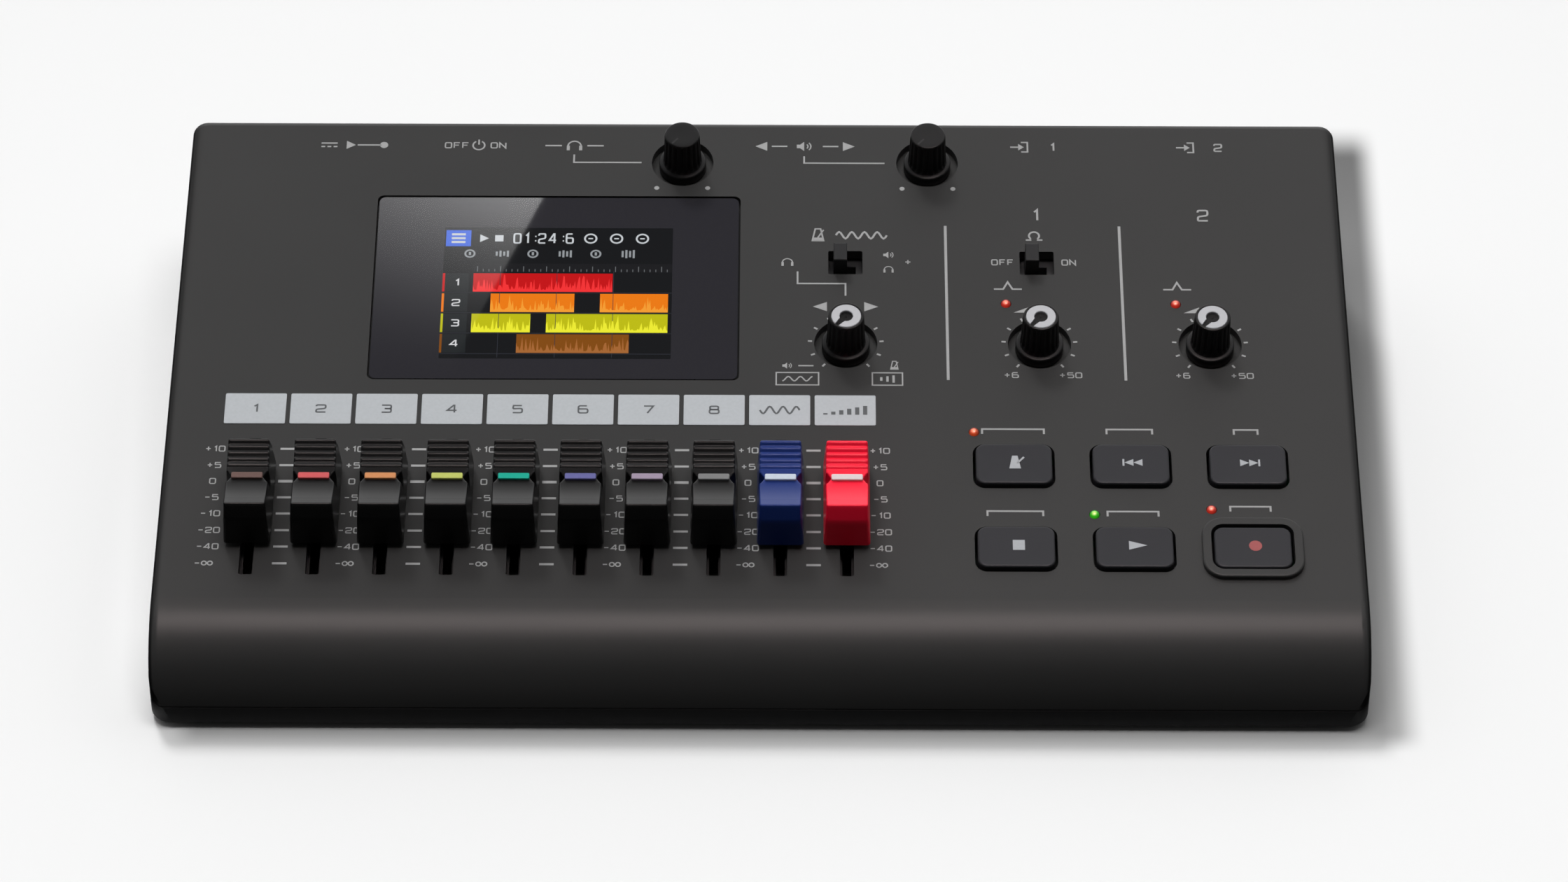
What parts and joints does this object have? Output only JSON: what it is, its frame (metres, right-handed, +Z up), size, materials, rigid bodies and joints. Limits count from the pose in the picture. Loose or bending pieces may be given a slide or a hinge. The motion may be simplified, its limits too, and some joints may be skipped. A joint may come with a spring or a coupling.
{
  "type": "digital multitrack recorder",
  "caption": "Wedge-shaped desktop recorder with faders, knobs, transport keys, a colour display and rear sockets.",
  "frame": {"origin": "middle of the footprint, at the height of the table", "axes": "+X to the right along the front, +Y to the rear, +Z up"},
  "size_m": [0.251, 0.148, 0.0487],
  "materials": {
    "case_plastic": "fine moulded grain",
    "base_plastic": "fine moulded grain",
    "window": "glossy clear",
    "display": "glossy",
    "fader_black": "satin",
    "fader_blue": "satin",
    "fader_red": "satin",
    "knob_black": "satin",
    "knob_white": "satin",
    "key_grey": "satin",
    "switch_black": "satin",
    "key_rubber": "matt",
    "lever_steel": "brushed",
    "port_metal": "satin",
    "board": "varnished",
    "socket_plastic": "satin",
    "lights": "translucent",
    "cell_wrap": "gloss",
    "card": "gloss",
    "screw_steel": "blackened",
    "foot_rubber": "matt"
  },
  "bodies": {
    "case": {"battery_cells": "cell_wrap", "battery_contacts": "port_metal", "bottom_cover": "base_plastic", "card_socket": "port_metal", "case_screws": "screw_steel", "combo_jacks": "socket_plastic", "control_board": "board", "display_module": "display", "display_window": "window", "fader_frames": "lever_steel", "indicator_lights": "lights", "key_mat": "key_rubber", "line_jacks": "socket_plastic", "main_board": "board", "pot_bodies": "lever_steel", "rubber_feet": "foot_rubber", "switch_bodies": "socket_plastic", "top_cover": "case_plastic", "usb_port": "port_metal"},
    "fader_1": {"fader_cap_1": "fader_black", "fader_lever_1": "lever_steel"},
    "fader_2": {"fader_cap_2": "fader_black", "fader_lever_2": "lever_steel"},
    "fader_3": {"fader_cap_3": "fader_black", "fader_lever_3": "lever_steel"},
    "fader_4": {"fader_cap_4": "fader_black", "fader_lever_4": "lever_steel"},
    "fader_5": {"fader_cap_5": "fader_black", "fader_lever_5": "lever_steel"},
    "fader_6": {"fader_cap_6": "fader_black", "fader_lever_6": "lever_steel"},
    "fader_7": {"fader_cap_7": "fader_black", "fader_lever_7": "lever_steel"},
    "fader_8": {"fader_cap_8": "fader_black", "fader_lever_8": "lever_steel"},
    "fader_effect": {"fader_cap_effect": "fader_blue", "fader_lever_effect": "lever_steel"},
    "fader_master": {"fader_cap_master": "fader_red", "fader_lever_master": "lever_steel"},
    "knob_phones": {"phones_knob": "knob_black"},
    "knob_output": {"output_knob": "knob_black"},
    "knob_balance": {"balance_knob": "knob_black", "balance_knob_cap": "knob_white"},
    "knob_gain_1": {"gain_knob_1": "knob_black", "gain_knob_cap_1": "knob_white"},
    "knob_gain_2": {"gain_knob_2": "knob_black", "gain_knob_cap_2": "knob_white"},
    "click_press": {"click_key": "key_grey"},
    "rewind_press": {"rewind_key": "key_grey"},
    "forward_press": {"forward_key": "key_grey"},
    "stop_press": {"stop_key": "key_grey"},
    "play_press": {"play_key": "key_grey"},
    "record_press": {"record_key": "key_grey"},
    "click_toggle_switch": {"click_toggle": "switch_black"},
    "hi_z_toggle_switch": {"hi_z_toggle": "switch_black"},
    "power_switch": {"power_slider": "switch_black"},
    "card": {"memory_card": "card"},
    "door": {"battery_door": "base_plastic"}
  },
  "joints": [
    {"name": "fader_1_slide", "type": "slide", "parent": "case", "child": "fader_1", "axis": [0, 0.989, 0.1478], "range_m": [-0.015, 0.015]},
    {"name": "fader_2_slide", "type": "slide", "parent": "case", "child": "fader_2", "axis": [0, 0.989, 0.1478], "range_m": [-0.015, 0.015]},
    {"name": "fader_3_slide", "type": "slide", "parent": "case", "child": "fader_3", "axis": [0, 0.989, 0.1478], "range_m": [-0.015, 0.015]},
    {"name": "fader_4_slide", "type": "slide", "parent": "case", "child": "fader_4", "axis": [0, 0.989, 0.1478], "range_m": [-0.015, 0.015]},
    {"name": "fader_5_slide", "type": "slide", "parent": "case", "child": "fader_5", "axis": [0, 0.989, 0.1478], "range_m": [-0.015, 0.015]},
    {"name": "fader_6_slide", "type": "slide", "parent": "case", "child": "fader_6", "axis": [0, 0.989, 0.1478], "range_m": [-0.015, 0.015]},
    {"name": "fader_7_slide", "type": "slide", "parent": "case", "child": "fader_7", "axis": [0, 0.989, 0.1478], "range_m": [-0.015, 0.015]},
    {"name": "fader_8_slide", "type": "slide", "parent": "case", "child": "fader_8", "axis": [0, 0.989, 0.1478], "range_m": [-0.015, 0.015]},
    {"name": "fader_effect_slide", "type": "slide", "parent": "case", "child": "fader_effect", "axis": [0, 0.989, 0.1478], "range_m": [-0.015, 0.015]},
    {"name": "fader_master_slide", "type": "slide", "parent": "case", "child": "fader_master", "axis": [0, 0.989, 0.1478], "range_m": [-0.015, 0.015]},
    {"name": "knob_phones_turn", "type": "hinge", "parent": "case", "child": "knob_phones", "pos_m": [-0.0176, 0.0614, 0.03914], "axis": [0, -0.1478, 0.989], "range_deg": [-290, 10]},
    {"name": "knob_output_turn", "type": "hinge", "parent": "case", "child": "knob_output", "pos_m": [0.0359, 0.0614, 0.03914], "axis": [0, -0.1478, 0.989], "range_deg": [-290, 10]},
    {"name": "knob_balance_turn", "type": "hinge", "parent": "case", "child": "knob_balance", "pos_m": [0.0179, 0.01047, 0.03153], "axis": [0, -0.1478, 0.989], "range_deg": [-290, 10]},
    {"name": "knob_gain_1_turn", "type": "hinge", "parent": "case", "child": "knob_gain_1", "pos_m": [0.0592, 0.01047, 0.03153], "axis": [0, -0.1478, 0.989], "range_deg": [-290, 10]},
    {"name": "knob_gain_2_turn", "type": "hinge", "parent": "case", "child": "knob_gain_2", "pos_m": [0.0956, 0.01047, 0.03153], "axis": [0, -0.1478, 0.989], "range_deg": [-290, 10]},
    {"name": "click_press_slide", "type": "slide", "parent": "case", "child": "click_press", "axis": [0, 0.1478, -0.989], "range_m": [0, 0.0011], "stiffness_N_per_m": 200, "springref_m": -0.0004},
    {"name": "rewind_press_slide", "type": "slide", "parent": "case", "child": "rewind_press", "axis": [0, 0.1478, -0.989], "range_m": [0, 0.0011], "stiffness_N_per_m": 200, "springref_m": -0.0004},
    {"name": "forward_press_slide", "type": "slide", "parent": "case", "child": "forward_press", "axis": [0, 0.1478, -0.989], "range_m": [0, 0.0011], "stiffness_N_per_m": 200, "springref_m": -0.0004},
    {"name": "stop_press_slide", "type": "slide", "parent": "case", "child": "stop_press", "axis": [0, 0.1478, -0.989], "range_m": [0, 0.0011], "stiffness_N_per_m": 200, "springref_m": -0.0004},
    {"name": "play_press_slide", "type": "slide", "parent": "case", "child": "play_press", "axis": [0, 0.1478, -0.989], "range_m": [0, 0.0011], "stiffness_N_per_m": 200, "springref_m": -0.0004},
    {"name": "record_press_slide", "type": "slide", "parent": "case", "child": "record_press", "axis": [0, 0.1478, -0.989], "range_m": [0, 0.0011], "stiffness_N_per_m": 200, "springref_m": -0.0004},
    {"name": "click_toggle_switch_slide", "type": "slide", "parent": "case", "child": "click_toggle_switch", "axis": [1, 0, 0], "range_m": [0, 0.0022]},
    {"name": "hi_z_toggle_switch_slide", "type": "slide", "parent": "case", "child": "hi_z_toggle_switch", "axis": [1, 0, 0], "range_m": [0, 0.0022]},
    {"name": "power_switch_slide", "type": "slide", "parent": "case", "child": "power_switch", "axis": [1, 0, 0], "range_m": [0, 0.004]},
    {"name": "card_slide", "type": "slide", "parent": "case", "child": "card", "axis": [1, 0, 0], "range_m": [0, 0.018]},
    {"name": "door_slide", "type": "slide", "parent": "case", "child": "door", "axis": [0, 0, -1], "range_m": [0, 0.03]}
  ]
}
